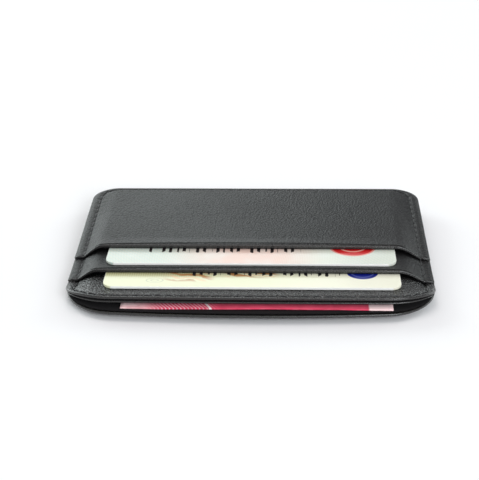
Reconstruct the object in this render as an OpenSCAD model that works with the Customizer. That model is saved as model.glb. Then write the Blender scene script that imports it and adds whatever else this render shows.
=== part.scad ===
// Slim leather card holder: two front card pockets, two back card pockets and an open centre pocket.
// Origin: centre of the plan, at the level the holder rests on. +Y is the closed rear edge.

/* [Body] */
// Width across the two side edges, mm
body_w = 107.2; // [106:0.2:112]
// Depth from the front lip to the closed rear edge, mm
body_d = 81; // [81:0.5:84]
// Corner radius of the closed rear edge, mm
rear_r = 8.5; // [7:0.5:10]
// Corner radius of the open front edge, mm
front_r = 16; // [12:0.5:16.5]
// Forward bow of the front edges, mm
front_bow = 1.6; // [0.6:0.1:2]

/* [Leather and linings] */
// Leather thickness over the cards, mm
leather_t = 0.8; // [0.6:0.05:0.9]
// Board thickness, mm
board_t = 0.35; // [0.25:0.05:0.4]
// Lining thickness, mm
lining_t = 0.2; // [0.15:0.05:0.25]
// Gap between layers that touch, mm
skin_gap = 0.03; // [0.02:0.01:0.05]

/* [Pockets] */
// Distance of the upper pocket mouth from the rear edge, mm
upper_mouth = 49.6; // [49:0.1:51]
// Distance of the lower pocket mouth from the rear edge, mm
lower_mouth = 62.8; // [62:0.1:63.3]
// Distance of the front panel mouth from the rear edge, mm
panel_mouth = 76.8; // [75.5:0.1:77.4]
// Height of the centre pocket gap at its mouth, mm
centre_gap = 1.7; // [1.65:0.05:2.2]
// Slope of the front face, where the centre pocket closes towards the rear, degrees
face_tilt = 1.25; // [0.8:0.05:1.3]
// Distance of the lower pocket's floor seam from the rear edge, mm
floor_seam = 15.4; // [14:0.1:15.8]

/* [Seams] */
// Distance of the outer seam from the edge, mm
seam_in = 3; // [2.8:0.1:3.2]
// Stitch spacing, mm
stitch_pitch = 3.2; // [3:0.1:4]
// Thread thickness, mm
thread_d = 0.5; // [0.3:0.05:0.6]

/* [Cards and note] */
// Card thickness, mm
card_t = 0.76; // [0.6:0.02:0.8]
// How far the upper card stands out of its pocket, mm
card_upper_out = 9.8; // [9.7:0.1:20]
// How far the lower card stands out of its pocket, mm
card_lower_out = 8.6; // [8.4:0.1:20]
// Width of the folded note, mm
note_w = 77; // [60:1:80]
// Depth of the folded note, mm
note_d = 38.8; // [34:0.2:40]

/* [Hidden] */
$fn = 48;

half_w = body_w / 2;
front_y = -body_d / 2;
rear_y = body_d / 2;
upper_y = rear_y - upper_mouth;
lower_y = rear_y - lower_mouth;
panel_y = rear_y - panel_mouth;
floor_y = rear_y - floor_seam;
bend_y = 28 / 39 * rear_y;
card_w = 85.6;
card_h = 53.98;
card_r = 3.18;
card_play = 0.09;
pocket_lining_t = 0.15;
slope = tan(face_tilt);

// Levels over the cards, from the underside up. Each layer's underside is named.
skived_t = leather_t - pocket_lining_t - skin_gap;
z_bpu = 0;
z_bpul = z_bpu + skived_t + skin_gap;
z_bpl = z_bpul + pocket_lining_t + skin_gap;
z_bpll = z_bpl + skived_t + skin_gap;
z_back = z_bpll + pocket_lining_t + skin_gap;
z_bboard = z_back + leather_t + skin_gap;
z_blining = z_bboard + board_t + skin_gap;
z_gap = z_blining + lining_t;
z_flining = z_gap + centre_gap;
z_fboard = z_flining + lining_t + skin_gap;
z_front = z_fboard + board_t + skin_gap;
z_card_lower = z_front + leather_t + card_play;
z_fpll = z_card_lower + card_t + card_play;
z_fpl = z_fpll + pocket_lining_t + skin_gap;
z_card_upper = z_fpl + skived_t + card_play;
z_fpul = z_card_upper + card_t + card_play;
z_fpu = z_fpul + pocket_lining_t + skin_gap;

// Levels at the sewn seam, where every layer is pared thin and pressed together.
seam_z = 0.62;
seam_skin = leather_t * 0.8;
seam_lining = lining_t * 0.5;
seam_step = seam_skin + skin_gap;
s_bpu = seam_z;
s_bpul = s_bpu + seam_skin * 0.85 + skin_gap;
s_bpl = s_bpul + seam_lining + skin_gap;
s_bpll = s_bpl + seam_skin * 0.85 + skin_gap;
s_back = s_bpll + seam_lining + skin_gap;
s_bboard = s_back + seam_step;
s_blining = s_bboard + 0.06 + skin_gap;
s_flining = s_blining + seam_lining + skin_gap;
s_fboard = s_flining + seam_lining + skin_gap;
s_front = s_fboard + 0.06 + skin_gap;
s_fpll = s_front + seam_step;
s_fpl = s_fpll + seam_lining + skin_gap;
s_fpul = s_fpl + seam_skin * 0.85 + skin_gap;
s_fpu = s_fpul + seam_lining + skin_gap;
s_top = s_fpu + seam_skin * 0.9;
press_z = (seam_z + s_top) / 2 - 0.4;
lift_front = 0.1;
lift_rear = 1.7;
rear_swell = 0.1;

side_flat = half_w - 43.4;
rear_flat = 5.1;
rear_full = 3.4;
groove_y = panel_y + 1.6;
groove_d = 0.42;
pocket_drop = card_t + 2 * card_play - 0.02;

// Shared grid: every layer uses the same lines, so neighbours stay a constant gap apart.
edge_cols = [0.18, 0.55, 1.4, seam_in, 4.6, 6.4, 8.3, side_flat, 14];
cols = concat([for (e = edge_cols) -(half_w - e)], [-half_w * 0.4, 0, half_w * 0.4],
    [for (i = [len(edge_cols) - 1 : -1 : 0]) half_w - edge_cols[i]]);
all_cols = concat([-half_w], cols, [half_w]);
all_rows = [front_y, front_y + 0.5, front_y + 2, panel_y, panel_y + 0.5, groove_y - 0.8,
    groove_y - 0.35, groove_y + 0.35, groove_y + 0.8, panel_y + 3.2, panel_y + 7,
    lower_y - 3, lower_y, lower_y + 0.5, upper_y, upper_y + 0.5, 8,
    floor_y - 0.7, floor_y + 0.7, bend_y, rear_y - rear_flat,
    rear_y - 4.5, rear_y - 3.9, rear_y - rear_full, rear_y - seam_in, rear_y - 1.4,
    rear_y - 0.5, rear_y];

function clip(t) = max(0, min(1, t));
function ease(t) = clip(t) * clip(t) * (3 - 2 * clip(t));
function corner(a, r) = a <= 0 ? 0 : r - sqrt(max(0, r * r - a * a));
function plan_y(t, x) =
    let (q = x / half_w,
        f = clip((lower_y - t) / (lower_y - front_y)),
        g = clip((t - bend_y) / (rear_y - bend_y)))
    t + f * (front_bow * q * q + corner(abs(x) - half_w + front_r, front_r))
        - g * corner(abs(x) - half_w + rear_r, rear_r);
function inset(x, y) =
    let (a = abs(x) - (half_w - rear_r), b = y - (rear_y - rear_r))
    (a > 0 && b > 0) ? rear_r - norm([a, b]) : min(half_w - abs(x), rear_y - y);
function pinch(x, y) =
    let (open = 1 - 0.8 * ease((lower_y - y) / 11),
        side = open * ease((side_flat - (half_w - abs(x))) / (side_flat - seam_in)),
        d = abs(x) > half_w - rear_r && y > rear_y - rear_r ? inset(x, y) : rear_y - y,
        rear = ease((rear_flat - d) / (rear_flat - rear_full)))
    1 - (1 - side) * (1 - rear);
function press(x, y) = let (e = clip((seam_in - inset(x, y)) / seam_in)) e * e;
function lift(y) =
    lift_front + (lift_rear - lift_front) * ease((y - lower_y) / (rear_y - lower_y));
// Layers above the centre pocket slope down towards the rear.
function sloped(c, y) = c > z_gap + 0.01 ? c - slope * (y - panel_y) : c;
// The seam is thicker towards the rear edge.
function swell(y) = rear_swell * ease((y - lower_y) / (rear_y - lower_y));
// Height of a level that is c over the cards and s at the seam.
function level(c, s, x, y) =
    let (w = pinch(x, y), c1 = sloped(c, y), up = lift(y), k = swell(y),
        sewn = s + k * (s - seam_z) + up, z = c1 + (sewn - c1) * w,
        m = press_z + k * (press_z - seam_z) + up)
    m + (z - m) * (1 - 0.26 * press(x, y));

// One layer between two levels, from row t0 to row t1 and out to x_end at both sides.
module layer(c0, c1, s0, s1, t0, t1, x_end = 1000, drop = 0, rim = true, groove = 0) {
    xs = [for (x = all_cols) if (abs(x) <= x_end + 0.001) x];
    ts = [for (t = all_rows) if (t >= t0 - 0.001 && t <= t1 + 0.001) t];
    nx = len(xs);
    nt = len(ts);
    function fall(t) = drop * ease((t - floor_y + 0.7) / 1.4);
    function nose(j) = (rim && j == 0) ? 0.3 : 0;
    function dent(t) = abs(t - groove_y) < 0.5 ? groove : 0;
    function point(i, j, up) =
        let (x = xs[i], y = plan_y(ts[j], x),
            d = fall(ts[j]),
            lo = level(c0 - d, s0, x, y),
            hi = level(c1 - d, s1, x, y) - dent(ts[j]),
            n = nose(j))
        [x, y, up ? hi - (hi - lo) * n : lo + (hi - lo) * n];
    points = concat([for (j = [0 : nt - 1]) for (i = [0 : nx - 1]) point(i, j, false)],
        [for (j = [0 : nt - 1]) for (i = [0 : nx - 1]) point(i, j, true)]);
    m = nx * nt;
    low = [for (j = [0 : nt - 2]) for (i = [0 : nx - 2])
        let (a = j * nx + i)
        each [[a, a + 1, a + nx + 1], [a, a + nx + 1, a + nx]]];
    high = [for (f = low) [f[2] + m, f[1] + m, f[0] + m]];
    front = [for (i = [0 : nx - 2]) each [[i, i + m, i + m + 1], [i, i + m + 1, i + 1]]];
    rear_row = (nt - 1) * nx;
    rear = [for (i = [0 : nx - 2])
        let (a = rear_row + i)
        each [[a, a + 1, a + m + 1], [a, a + m + 1, a + m]]];
    left = [for (j = [0 : nt - 2])
        let (a = j * nx)
        each [[a, a + nx, a + nx + m], [a, a + nx + m, a + m]]];
    right = [for (j = [0 : nt - 2])
        let (a = j * nx + nx - 1)
        each [[a, a + m, a + nx + m], [a, a + nx + m, a + nx]]];
    polyhedron(points, concat(low, high, front, rear, left, right), convexity = 6);
}

lining_x = half_w - 1.4;
lining_t1 = rear_y - 1.4;
board_x = half_w - 6.4;
board_t1 = rear_y - rear_flat;

module back_pocket_upper() {
    color([0.06, 0.06, 0.065])
    layer(z_bpu, z_bpu + skived_t, s_bpu, s_bpul - skin_gap, upper_y, rear_y);
}
module back_pocket_upper_lining() {
    color([0.1, 0.1, 0.11])
    layer(z_bpul, z_bpul + pocket_lining_t, s_bpul, s_bpl - skin_gap,
        upper_y + 0.5, lining_t1, lining_x, 0, false);
}
module back_pocket_lower() {
    color([0.06, 0.06, 0.065])
    layer(z_bpl, z_bpl + skived_t, s_bpl, s_bpll - skin_gap, lower_y, rear_y);
}
module back_pocket_lower_lining() {
    color([0.1, 0.1, 0.11])
    layer(z_bpll, z_bpll + pocket_lining_t, s_bpll, s_back - skin_gap,
        lower_y + 0.5, lining_t1, lining_x, 0, false);
}
module back_panel() {
    color([0.06, 0.06, 0.065])
    layer(z_back, z_back + leather_t, s_back, s_bboard - skin_gap, front_y, rear_y);
}
module back_board() {
    color([0.45, 0.43, 0.4])
    layer(z_bboard, z_bboard + board_t, s_bboard, s_blining - skin_gap,
        front_y + 2, board_t1, board_x, 0, false);
}
module back_lining() {
    color([0.1, 0.1, 0.11])
    layer(z_blining, z_blining + lining_t, s_blining, s_flining - skin_gap,
        front_y + 0.5, lining_t1, lining_x, 0, false);
}
module front_lining() {
    color([0.1, 0.1, 0.11])
    layer(z_flining, z_flining + lining_t, s_flining, s_fboard - skin_gap,
        panel_y + 0.5, lining_t1, lining_x, 0, false);
}
module front_board() {
    color([0.45, 0.43, 0.4])
    layer(z_fboard, z_fboard + board_t, s_fboard, s_front - skin_gap,
        panel_y + 3.2, board_t1, board_x, 0, false);
}
module front_panel() {
    color([0.06, 0.06, 0.065])
    layer(z_front, z_front + leather_t, s_front, s_fpll - skin_gap, panel_y, rear_y,
        1000, 0, true, groove_d);
}
module front_pocket_lower_lining() {
    color([0.1, 0.1, 0.11])
    layer(z_fpll, z_fpll + pocket_lining_t, s_fpll, s_fpl - skin_gap,
        lower_y + 0.5, lining_t1, lining_x, pocket_drop, false);
}
module front_pocket_lower() {
    color([0.06, 0.06, 0.065])
    layer(z_fpl, z_fpl + skived_t, s_fpl, s_fpul - skin_gap, lower_y, rear_y, 1000, pocket_drop);
}
module front_pocket_upper_lining() {
    color([0.1, 0.1, 0.11])
    layer(z_fpul, z_fpul + pocket_lining_t, s_fpul, s_fpu - skin_gap,
        upper_y + 0.5, lining_t1, lining_x, 0, false);
}
module front_pocket_upper() {
    color([0.06, 0.06, 0.065])
    layer(z_fpu, z_fpu + skived_t, s_fpu, s_top, upper_y, rear_y);
}

// One stitch centred on a point, turned by yaw in plan and tipped by rise.
module stitch(x, y, z, yaw, rise = 0, d = thread_d) {
    len = stitch_pitch * 0.72;
    translate([x, y, z])
    rotate([0, 0, yaw])
    rotate([0, 90 - rise, 0])
    cylinder(h = len, d = d, center = true, $fn = 6);
}

// Point and direction at a distance along the outer seam, from the left mouth round the rear.
seam_r = rear_r - seam_in;
seam_x = half_w - seam_in;
seam_side = rear_y - rear_r - lower_y;
seam_arc = seam_r * 90 * PI / 180;
seam_rear = 2 * (half_w - rear_r);
seam_total = 2 * seam_side + 2 * seam_arc + seam_rear;
function seam_at(s) =
    s < seam_side ? [-seam_x, lower_y + s, 90] :
    s < seam_side + seam_arc ?
        let (a = 180 - (s - seam_side) / seam_arc * 90)
        [-(half_w - rear_r) + seam_r * cos(a), rear_y - rear_r + seam_r * sin(a), a - 90] :
    s < seam_side + seam_arc + seam_rear ?
        [-(half_w - rear_r) + s - seam_side - seam_arc, rear_y - seam_in, 0] :
    s < seam_total - seam_side ?
        let (a = 90 - (s - seam_side - seam_arc - seam_rear) / seam_arc * 90)
        [half_w - rear_r + seam_r * cos(a), rear_y - rear_r + seam_r * sin(a), a - 90] :
        [seam_x, lower_y + seam_total - s, -90];

seam_n = floor((seam_total - 3) / stitch_pitch);
thread_lift = thread_d / 2 + 0.06;

module outer_seam_top() {
    color([0.02, 0.02, 0.02])
    for (i = [0 : seam_n]) {
        p = seam_at(1.5 + i * stitch_pitch);
        near_step = abs(p[1] - upper_y) < 1.4;
        behind = p[1] > upper_y;
        c = behind ? z_fpu + skived_t : z_fpl + skived_t;
        s = behind ? s_top : s_fpul - skin_gap;
        if (!near_step)
            stitch(p[0], p[1], level(c, s, p[0], p[1]) + thread_lift, p[2]);
    }
}
module outer_seam_bottom() {
    color([0.02, 0.02, 0.02])
    for (i = [0 : seam_n]) {
        p = seam_at(1.5 + i * stitch_pitch);
        near_step = abs(p[1] - upper_y) < 1.4;
        behind = p[1] > upper_y;
        c = behind ? z_bpu : z_bpl;
        s = behind ? s_bpu : s_bpl;
        if (!near_step)
            stitch(p[0], p[1], level(c, s, p[0], p[1]) - thread_lift, p[2]);
    }
}

fine_d = min(thread_d, 0.34);

// A row of stitches beside a front edge, on the outside of a panel.
module mouth_row(t, c, s, side, x_end, sunk) {
    n = floor(2 * x_end / stitch_pitch / 2) * 2;
    for (i = [0 : n]) {
        x = (i - n / 2) * stitch_pitch;
        y = plan_y(t, x);
        e = 0.4;
        dy = plan_y(t, x + e) - plan_y(t, x - e);
        z = level(c, s, x, y);
        dz = level(c, s, x + e, plan_y(t, x + e)) - level(c, s, x - e, plan_y(t, x - e));
        tilt = atan2(dz, 2 * e);
        stitch(x, y, z + side * (fine_d / 2 + 0.04 - sunk), atan2(dy, 2 * e), tilt, fine_d);
    }
}
module front_mouth_seam() {
    color([0.02, 0.02, 0.02])
    mouth_row(groove_y, z_front + leather_t, s_fpll - skin_gap, 1, 45, groove_d);
}
module back_mouth_seam() {
    color([0.02, 0.02, 0.02])
    mouth_row(front_y + 1.8, z_back, s_back, -1, 45, -0.06);
}

// Hidden cross seam that closes the bottom of a lower pocket.
module front_floor_seam() {
    n = floor(86 / stitch_pitch / 2) * 2;
    color([0.02, 0.02, 0.02])
    for (i = [0 : n])
        stitch((i - n / 2) * stitch_pitch, floor_y + 2.2,
            sloped(z_fpl + skived_t, floor_y + 2) - pocket_drop + thread_lift, 0);
}

// A card whose front edge is at y, on the sloping level z.
module card_at(x, y, z) {
    yc = y + card_h / 2;
    translate([x, yc, sloped(z, yc)])
    rotate([-face_tilt, 0, 0])
    card_blank();
}
module card_blank() {
    hw = card_w / 2 - card_r;
    hh = card_h / 2 - card_r;
    linear_extrude(card_t)
    polygon([for (c = [[1, 1, 0], [-1, 1, 90], [-1, -1, 180], [1, -1, 270]])
        for (k = [0 : 8])
            let (a = c[2] + k * 90 / 8)
            [c[0] * hw + card_r * cos(a), c[1] * hh + card_r * sin(a)]]);
}
module card_upper() {
    color([0.86, 0.88, 0.84])
    card_at(0, upper_y - card_upper_out, z_card_upper);
}
module card_lower() {
    color([0.9, 0.88, 0.74])
    card_at(0.6, lower_y - card_lower_out, z_card_lower);
}

// Four layers of a note folded twice, joined by rounded folds at the front and the rear.
note_x = 2.15;
note_layer = 0.11;
note_gap = 0.03;
note_step = note_layer + note_gap;
module fold(y, z, side, r_out) {
    translate([note_x - note_w / 2, y, z])
    rotate([0, 90, 0])
    linear_extrude(note_w)
    difference() {
        circle(r = r_out, $fn = 24);
        circle(r = r_out - note_layer, $fn = 24);
        translate([-2, side > 0 ? -4 : 0])
        square([4, 4]);
    }
}
module banknote() {
    y0 = front_y + 2.7;
    z0 = z_gap + 0.1;
    flat = note_d - 1.2;
    color([0.72, 0.16, 0.28])
    union() {
        for (k = [0 : 3])
            translate([note_x - note_w / 2, y0 + 0.4, z0 + k * note_step])
            cube([note_w, flat, note_layer]);
        fold(y0 + 0.4, z0 + 1.5 * note_step + note_layer / 2, -1, 1.5 * note_step + note_layer / 2);
        fold(y0 + 0.4, z0 + 1.5 * note_step + note_layer / 2, -1, 0.5 * note_step + note_layer / 2);
        fold(y0 + 0.4 + flat, z0 + 0.5 * note_step + note_layer / 2, 1,
            0.5 * note_step + note_layer / 2);
    }
}

back_pocket_upper();
back_pocket_lower();
back_panel();
back_board();
back_lining();
front_lining();
front_board();
front_panel();
front_pocket_lower();
front_pocket_upper();
front_pocket_lower_lining();
front_pocket_upper_lining();
back_pocket_lower_lining();
back_pocket_upper_lining();
outer_seam_top();
outer_seam_bottom();
front_mouth_seam();
back_mouth_seam();
front_floor_seam();
card_upper();
card_lower();
banknote();
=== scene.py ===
import math

import bpy
import numpy as np
from mathutils import Matrix, Vector
from mathutils.kdtree import KDTree


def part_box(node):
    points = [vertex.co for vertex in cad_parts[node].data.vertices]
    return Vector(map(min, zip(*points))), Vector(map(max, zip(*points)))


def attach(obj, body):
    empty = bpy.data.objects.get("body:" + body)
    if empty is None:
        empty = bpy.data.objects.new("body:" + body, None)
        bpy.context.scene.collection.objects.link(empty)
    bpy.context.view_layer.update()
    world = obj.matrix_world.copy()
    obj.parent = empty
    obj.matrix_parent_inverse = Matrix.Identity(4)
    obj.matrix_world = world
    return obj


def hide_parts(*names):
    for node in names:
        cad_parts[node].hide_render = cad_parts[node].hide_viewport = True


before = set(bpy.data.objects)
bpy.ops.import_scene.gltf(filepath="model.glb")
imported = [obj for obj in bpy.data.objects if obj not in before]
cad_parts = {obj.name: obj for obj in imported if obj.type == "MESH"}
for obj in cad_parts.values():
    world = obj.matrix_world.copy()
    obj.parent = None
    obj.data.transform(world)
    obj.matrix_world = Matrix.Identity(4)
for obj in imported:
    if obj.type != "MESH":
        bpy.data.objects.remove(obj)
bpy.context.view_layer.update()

MM = 0.001


# ---------------------------------------------------------------- frame sizes
def box_mm(node):
    lo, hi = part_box(node)
    return np.array(lo) / MM, np.array(hi) / MM


PANEL_LO, PANEL_HI = box_mm("back_panel")
HALF_W = (PANEL_HI[0] - PANEL_LO[0]) / 2
FRONT_Y = PANEL_LO[1]
REAR_Y = PANEL_HI[1]
UPPER_Y = box_mm("front_pocket_upper")[0][1]
LOWER_Y = box_mm("front_pocket_lower")[0][1]
PANEL_Y = box_mm("front_panel")[0][1]
REAR_R = 8.5
FRONT_R = 16.0
BOW = 1.6
SEAM_IN = 3.0
PITCH = 3.2

# Layer thicknesses and levels, the same sums as the solids.
LEATHER, BOARD, LINING, SKIN, THIN = 0.8, 0.35, 0.2, 0.03, 0.15
CARD_T, PLAY, GAP = 0.76, 0.09, 1.7
SKIVED = LEATHER - THIN - SKIN
CARD_W, CARD_D, CARD_R = 85.6, 53.98, 3.18
TILT_DEG = 1.25
SLOPE = math.tan(math.radians(TILT_DEG))
C = {}
C["bpu"] = 0.0
C["bpul"] = C["bpu"] + SKIVED + SKIN
C["bpl"] = C["bpul"] + THIN + SKIN
C["bpll"] = C["bpl"] + SKIVED + SKIN
C["back"] = C["bpll"] + THIN + SKIN
C["bboard"] = C["back"] + LEATHER + SKIN
C["blining"] = C["bboard"] + BOARD + SKIN
C["gap"] = C["blining"] + LINING
C["flining"] = C["gap"] + GAP
C["fboard"] = C["flining"] + LINING + SKIN
C["front"] = C["fboard"] + BOARD + SKIN
C["card_lower"] = C["front"] + LEATHER + PLAY
C["fpll"] = C["card_lower"] + CARD_T + PLAY
C["fpl"] = C["fpll"] + THIN + SKIN
C["card_upper"] = C["fpl"] + SKIVED + PLAY
C["fpul"] = C["card_upper"] + CARD_T + PLAY
C["fpu"] = C["fpul"] + THIN + SKIN
SS = LEATHER * 0.8
SL = LINING * 0.5
S = {}
SEAM_Z = 0.62
S["bpu"] = SEAM_Z
S["bpul"] = S["bpu"] + SS * 0.85 + SKIN
S["bpl"] = S["bpul"] + SL + SKIN
S["bpll"] = S["bpl"] + SS * 0.85 + SKIN
S["back"] = S["bpll"] + SL + SKIN
S["bboard"] = S["back"] + SS + SKIN
S["blining"] = S["bboard"] + 0.06 + SKIN
S["flining"] = S["blining"] + SL + SKIN
S["fboard"] = S["flining"] + SL + SKIN
S["front"] = S["fboard"] + 0.06 + SKIN
S["fpll"] = S["front"] + SS + SKIN
S["fpl"] = S["fpll"] + SL + SKIN
S["fpul"] = S["fpl"] + SS * 0.85 + SKIN
S["fpu"] = S["fpul"] + SL + SKIN
S["top"] = S["fpu"] + SS * 0.9
PRESS_Z = (S["bpu"] + S["top"]) / 2 - 0.4
LIFT_FRONT, LIFT_REAR, SWELL = 0.1, 1.7, 0.1
SIDE_FLAT = HALF_W - 43.4
# The left side stays open a little closer to its seam.
LEFT_FLAT = SIDE_FLAT - 1.4
REAR_FLAT, REAR_FULL = 5.1, 3.4
BEND_Y = 28 / 39 * REAR_Y
FLOOR_Y = REAR_Y - 15.4
DROP = CARD_T + 2 * PLAY - 0.02


def clip(t):
    return np.clip(t, 0, 1)


def ease(t):
    t = clip(t)
    return t * t * (3 - 2 * t)


def corner(a, r):
    a = np.clip(a, 0, r)
    return r - np.sqrt(np.maximum(0, r * r - a * a))


# Bow and corner radius of the front edge: in the solids, on the front panel and on the back panel.
PLAIN_FORM, PANEL_FORM, BACK_FORM = (BOW, FRONT_R), (0.5, 14.0), (3.1, 14.5)


def plan_y(t, x, cut=0.0, form=PLAIN_FORM):
    """Where a row t of the sheet lies at x. cut moves the outline inwards."""
    bow, front_r = form
    hw = HALF_W - cut
    q = x / HALF_W
    f = clip((LOWER_Y - t) / (LOWER_Y - FRONT_Y))
    g = clip((t - BEND_Y) / (REAR_Y - BEND_Y))
    return (
        t
        + f * (bow * q * q + corner(np.abs(x) - hw + front_r - cut, front_r - cut))
        - g * corner(np.abs(x) - hw + REAR_R - cut, REAR_R - cut)
    )


def inset(x, y):
    a, b = np.abs(x) - (HALF_W - REAR_R), y - (REAR_Y - REAR_R)
    straight = np.minimum(HALF_W - np.abs(x), REAR_Y - y)
    return np.where((a > 0) & (b > 0), REAR_R - np.hypot(a, b), straight)


def pinch(x, y):
    opened = 1 - 0.8 * ease((LOWER_Y - y) / 11)
    wide = np.where(x < 0, LEFT_FLAT, SIDE_FLAT)
    t = clip((wide - (HALF_W - np.abs(x))) / (wide - SEAM_IN))
    side = opened * (0.75 * (1 - np.cos(math.pi / 2 * t)) + 0.25 * ease(t))
    in_corner = (np.abs(x) > HALF_W - REAR_R) & (y > REAR_Y - REAR_R)
    d = np.where(in_corner, inset(x, y), REAR_Y - y)
    rear = ease((REAR_FLAT - d) / (REAR_FLAT - REAR_FULL))
    return 1 - (1 - side) * (1 - rear)


def sloped(c, y):
    return c - SLOPE * (y - PANEL_Y) if c > C["gap"] + 0.01 else c + 0 * y


def level(c, s, x, y, fall=0.0):
    c1 = sloped(c, y) - fall
    rearward = ease((y - LOWER_Y) / (REAR_Y - LOWER_Y))
    up = LIFT_FRONT + (LIFT_REAR - LIFT_FRONT) * rearward
    thicker = 1 + SWELL * rearward
    sewn = SEAM_Z + thicker * (s - SEAM_Z) + up
    z = c1 + (sewn - c1) * pinch(x, y)
    m = SEAM_Z + thicker * (PRESS_Z - SEAM_Z) + up
    e = clip((SEAM_IN - inset(x, y)) / SEAM_IN)
    return m + (z - m) * (1 - 0.26 * e * e)


# ---------------------------------------------------------------- mesh helpers
def add_mesh(name, verts, faces, mat, smooth=True):
    me = bpy.data.meshes.new(name)
    me.from_pydata([tuple(v) for v in np.asarray(verts) * MM], [], faces)
    me.update()
    if smooth:
        me.polygons.foreach_set("use_smooth", [True] * len(me.polygons))
    me.materials.append(mat)
    ob = bpy.data.objects.new(name, me)
    bpy.context.scene.collection.objects.link(ob)
    return ob


def strip(a, b):
    """Quads between two closed loops of vertex indices."""
    n = len(a)
    return [(a[i], a[(i + 1) % n], b[(i + 1) % n], b[i]) for i in range(n)]


ROUND = [(0.6, 0.8), (0.6, -0.8)]
BULL = [(0.4, 0.88), (0.75, 0.6), (0.9, 0.2), (0.88, -0.25), (0.7, -0.65), (0.35, -0.92)]
# A turned edge: the folded leather above, the edge of the turned-in flap below.
TURNED = [(0.26, 0.93), (0.46, 0.76), (0.6, 0.52), (0.64, 0.28), (0.56, 0.06), (0.30, -0.08),
          (0.40, -0.24), (0.46, -0.46), (0.42, -0.72), (0.22, -0.93)]


def closed_panel(name, X, Y, ZT, ZB, mat, profile=TURNED, edge_mat=None):
    """A sheet with a top and an underside, and a shaped edge all round."""
    nt, nx = X.shape
    top = np.stack([X, Y, ZT], -1).reshape(-1, 3)
    low = np.stack([X, Y, ZB], -1).reshape(-1, 3)
    idx = np.arange(nt * nx).reshape(nt, nx)
    loop = np.concatenate([idx[0, :-1], idx[:-1, -1], idx[-1, :0:-1], idx[:0:-1, 0]])
    p = top[loop][:, :2]
    tangent = np.roll(p, -1, 0) - np.roll(p, 1, 0)
    normal = np.stack([tangent[:, 1], -tangent[:, 0]], 1)
    normal /= np.maximum(np.linalg.norm(normal, axis=1, keepdims=True), 1e-9)
    zt, zb = top[loop][:, 2], low[loop][:, 2]
    half = (zt - zb) / 2
    out = [top, low]
    count = 2 * nt * nx
    n = len(loop)
    chain = [loop]
    for reach, rise in profile:
        xy = p + normal * (half * reach)[:, None]
        z = (zt + zb) / 2 + half * rise
        out.append(np.column_stack([xy, z]))
        chain.append(np.arange(count, count + n))
        count += n
    chain.append(loop + nt * nx)
    a, b, c, d = idx[:-1, :-1], idx[:-1, 1:], idx[1:, 1:], idx[1:, :-1]
    quads = np.stack([a, b, c, d], -1).reshape(-1, 4)
    faces = [tuple(int(v) for v in q) for q in quads]
    faces += [tuple(int(v) for v in q[::-1]) for q in quads + nt * nx]
    n_flat = len(faces)
    for u, v in zip(chain[:-1], chain[1:]):
        faces += [tuple(int(w) for w in q[::-1]) for q in strip(u, v)]
    ob = add_mesh(name, np.concatenate(out), faces, mat)
    if edge_mat:
        ob.data.materials.append(edge_mat)
        n_edge = len(faces) - n_flat
        ob.data.polygons.foreach_set("material_index", [0] * n_flat + [1] * n_edge)
    return ob


def tree_of(path):
    tree = KDTree(len(path))
    for i, (x, y) in enumerate(path):
        tree.insert((x, y, 0), i)
    tree.balance()
    return tree


def along(path):
    return np.concatenate([[0], np.cumsum(np.linalg.norm(np.diff(path, axis=0), axis=1))])


def resample(path, step):
    s = along(path)
    at = np.linspace(0, s[-1], max(2, int(round(s[-1] / step)) + 1))
    return np.stack([np.interp(at, s, path[:, k]) for k in range(2)], 1)


def field(X, Y, path, reach=2.5):
    """Distance from a path and distance along it, for points near the path."""
    tree, s = tree_of(path), along(path)
    D = np.full(X.shape, 99.0)
    A = np.zeros(X.shape)
    lo, hi = path.min(0) - reach, path.max(0) + reach
    near = (X > lo[0]) & (X < hi[0]) & (Y > lo[1]) & (Y < hi[1])
    for i, j in zip(*np.nonzero(near)):
        _, k, d = tree.find((X[i, j], Y[i, j], 0))
        if d < reach:
            D[i, j], A[i, j] = d, s[k]
    return D, A


def seam_path():
    """The outer seam, from the left side's front end round the rear to the right side's."""
    r = REAR_R - SEAM_IN
    cx, cy, sx = HALF_W - REAR_R, REAR_Y - REAR_R, HALF_W - SEAM_IN
    pts = [(-sx, LOWER_Y + 0.9), (-sx, cy)]
    pts += [(-cx + r * math.cos(a), cy + r * math.sin(a)) for a in np.linspace(math.pi, math.pi / 2, 30)]
    pts += [(cx + r * math.cos(a), cy + r * math.sin(a)) for a in np.linspace(math.pi / 2, 0, 30)]
    pts += [(sx, LOWER_Y + 0.9)]
    return resample(np.array(pts), 0.1)


def mouth_path(t0, off, form):
    """A line off millimetres inside a front edge, from the left side seam to the right one."""
    x = HALF_W * np.sin(np.linspace(-math.pi / 2, math.pi / 2, 400))
    y = plan_y(t0, x, 0.0, form)
    edge = np.column_stack([x, y])
    edge = np.concatenate([[[-HALF_W, LOWER_Y]], edge, [[HALF_W, LOWER_Y]]])
    edge = resample(edge, 0.1)
    tangent = np.gradient(edge, axis=0)
    normal = np.stack([-tangent[:, 1], tangent[:, 0]], 1)
    normal /= np.linalg.norm(normal, axis=1, keepdims=True)
    s = along(edge)
    end = np.minimum(s, s[-1] - s)
    depth = SEAM_IN + (off - SEAM_IN) * ease(end / 12)
    return resample(edge + normal * depth[:, None], 0.1)


SEAM = seam_path()
FRONT_MOUTH = mouth_path(PANEL_Y, 1.6, PANEL_FORM)
BACK_MOUTH = mouth_path(FRONT_Y, 2.2, BACK_FORM)


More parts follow.
